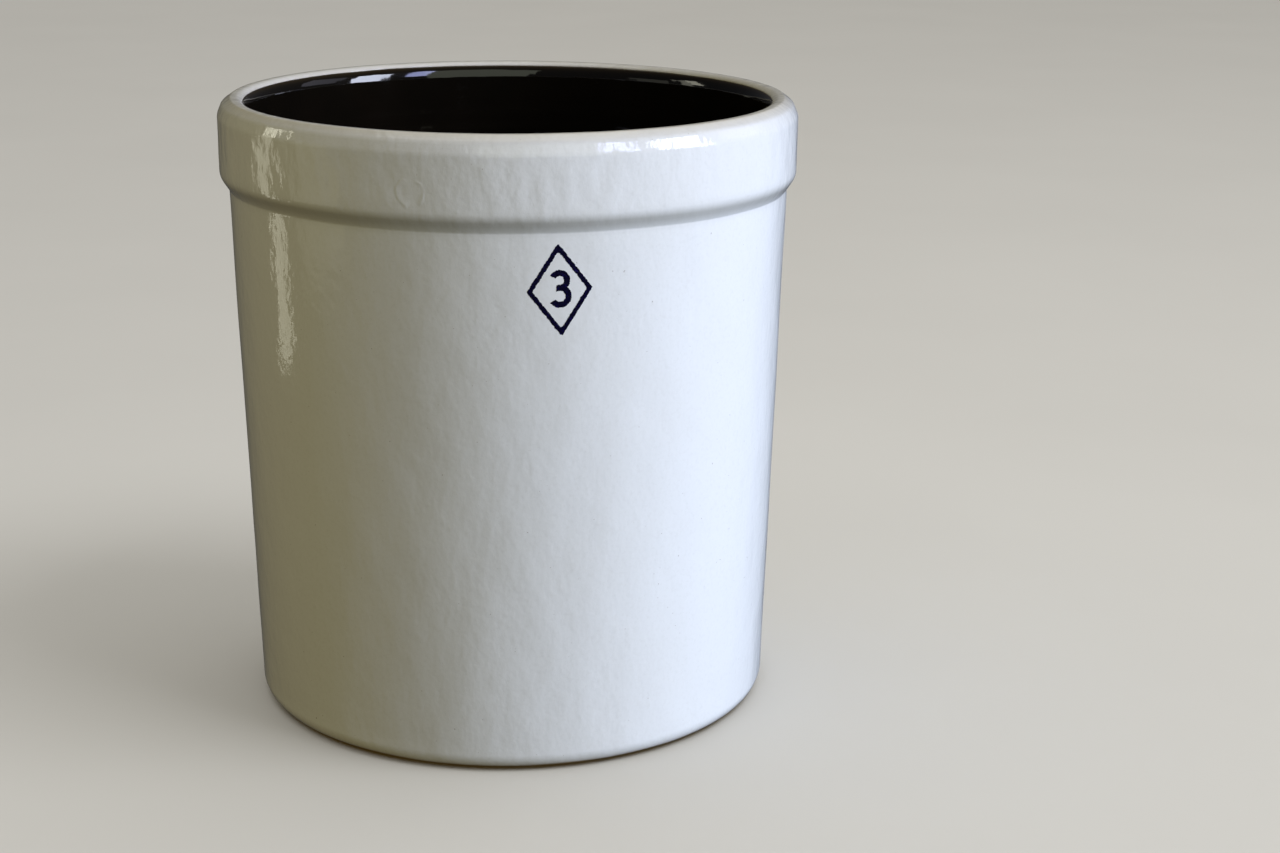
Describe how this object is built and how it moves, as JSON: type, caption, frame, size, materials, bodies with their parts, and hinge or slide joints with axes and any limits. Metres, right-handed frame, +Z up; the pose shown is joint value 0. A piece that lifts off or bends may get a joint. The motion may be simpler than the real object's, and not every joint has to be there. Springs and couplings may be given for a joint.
{
  "type": "stoneware fermenting crock",
  "caption": "Open stoneware fermenting crock, white glazed outside and dark glazed inside, with a heavy rim band, a capacity mark and lift-out half-moon weights.",
  "frame": {"origin": "centre of the foot ring, on the surface that the crock stands on", "axes": "+Z up along the crock's axis, -Y towards the capacity mark, +X towards the right-hand weight; the slot between the weights lies along Y"},
  "size_m": [0.266, 0.266, 0.285],
  "materials": {
    "stoneware_clay": "bare fired stoneware, matt, fine grained",
    "white_glaze": "glossy opaque white glaze with a faint orange peel",
    "dark_glaze": "glossy brown-black glaze",
    "cobalt_mark": "cobalt stamp fired into the glaze",
    "weight_glaze": "glossy cream glaze over stoneware, bare underneath"
  },
  "bodies": {
    "crock": {"stoneware_body": "stoneware_clay", "exterior_glaze": "white_glaze", "interior_glaze": "dark_glaze", "capacity_mark_frame": "cobalt_mark", "capacity_mark_numeral": "cobalt_mark"},
    "weight_left": {"weight_left": "weight_glaze"},
    "weight_right": {"weight_right": "weight_glaze"}
  },
  "joints": [
    {"name": "weight_left_lift", "type": "slide", "parent": "crock", "child": "weight_left", "axis": [0, 0, 1], "range_m": [0, 0.3]},
    {"name": "weight_right_lift", "type": "slide", "parent": "crock", "child": "weight_right", "axis": [0, 0, 1], "range_m": [0, 0.3]}
  ]
}
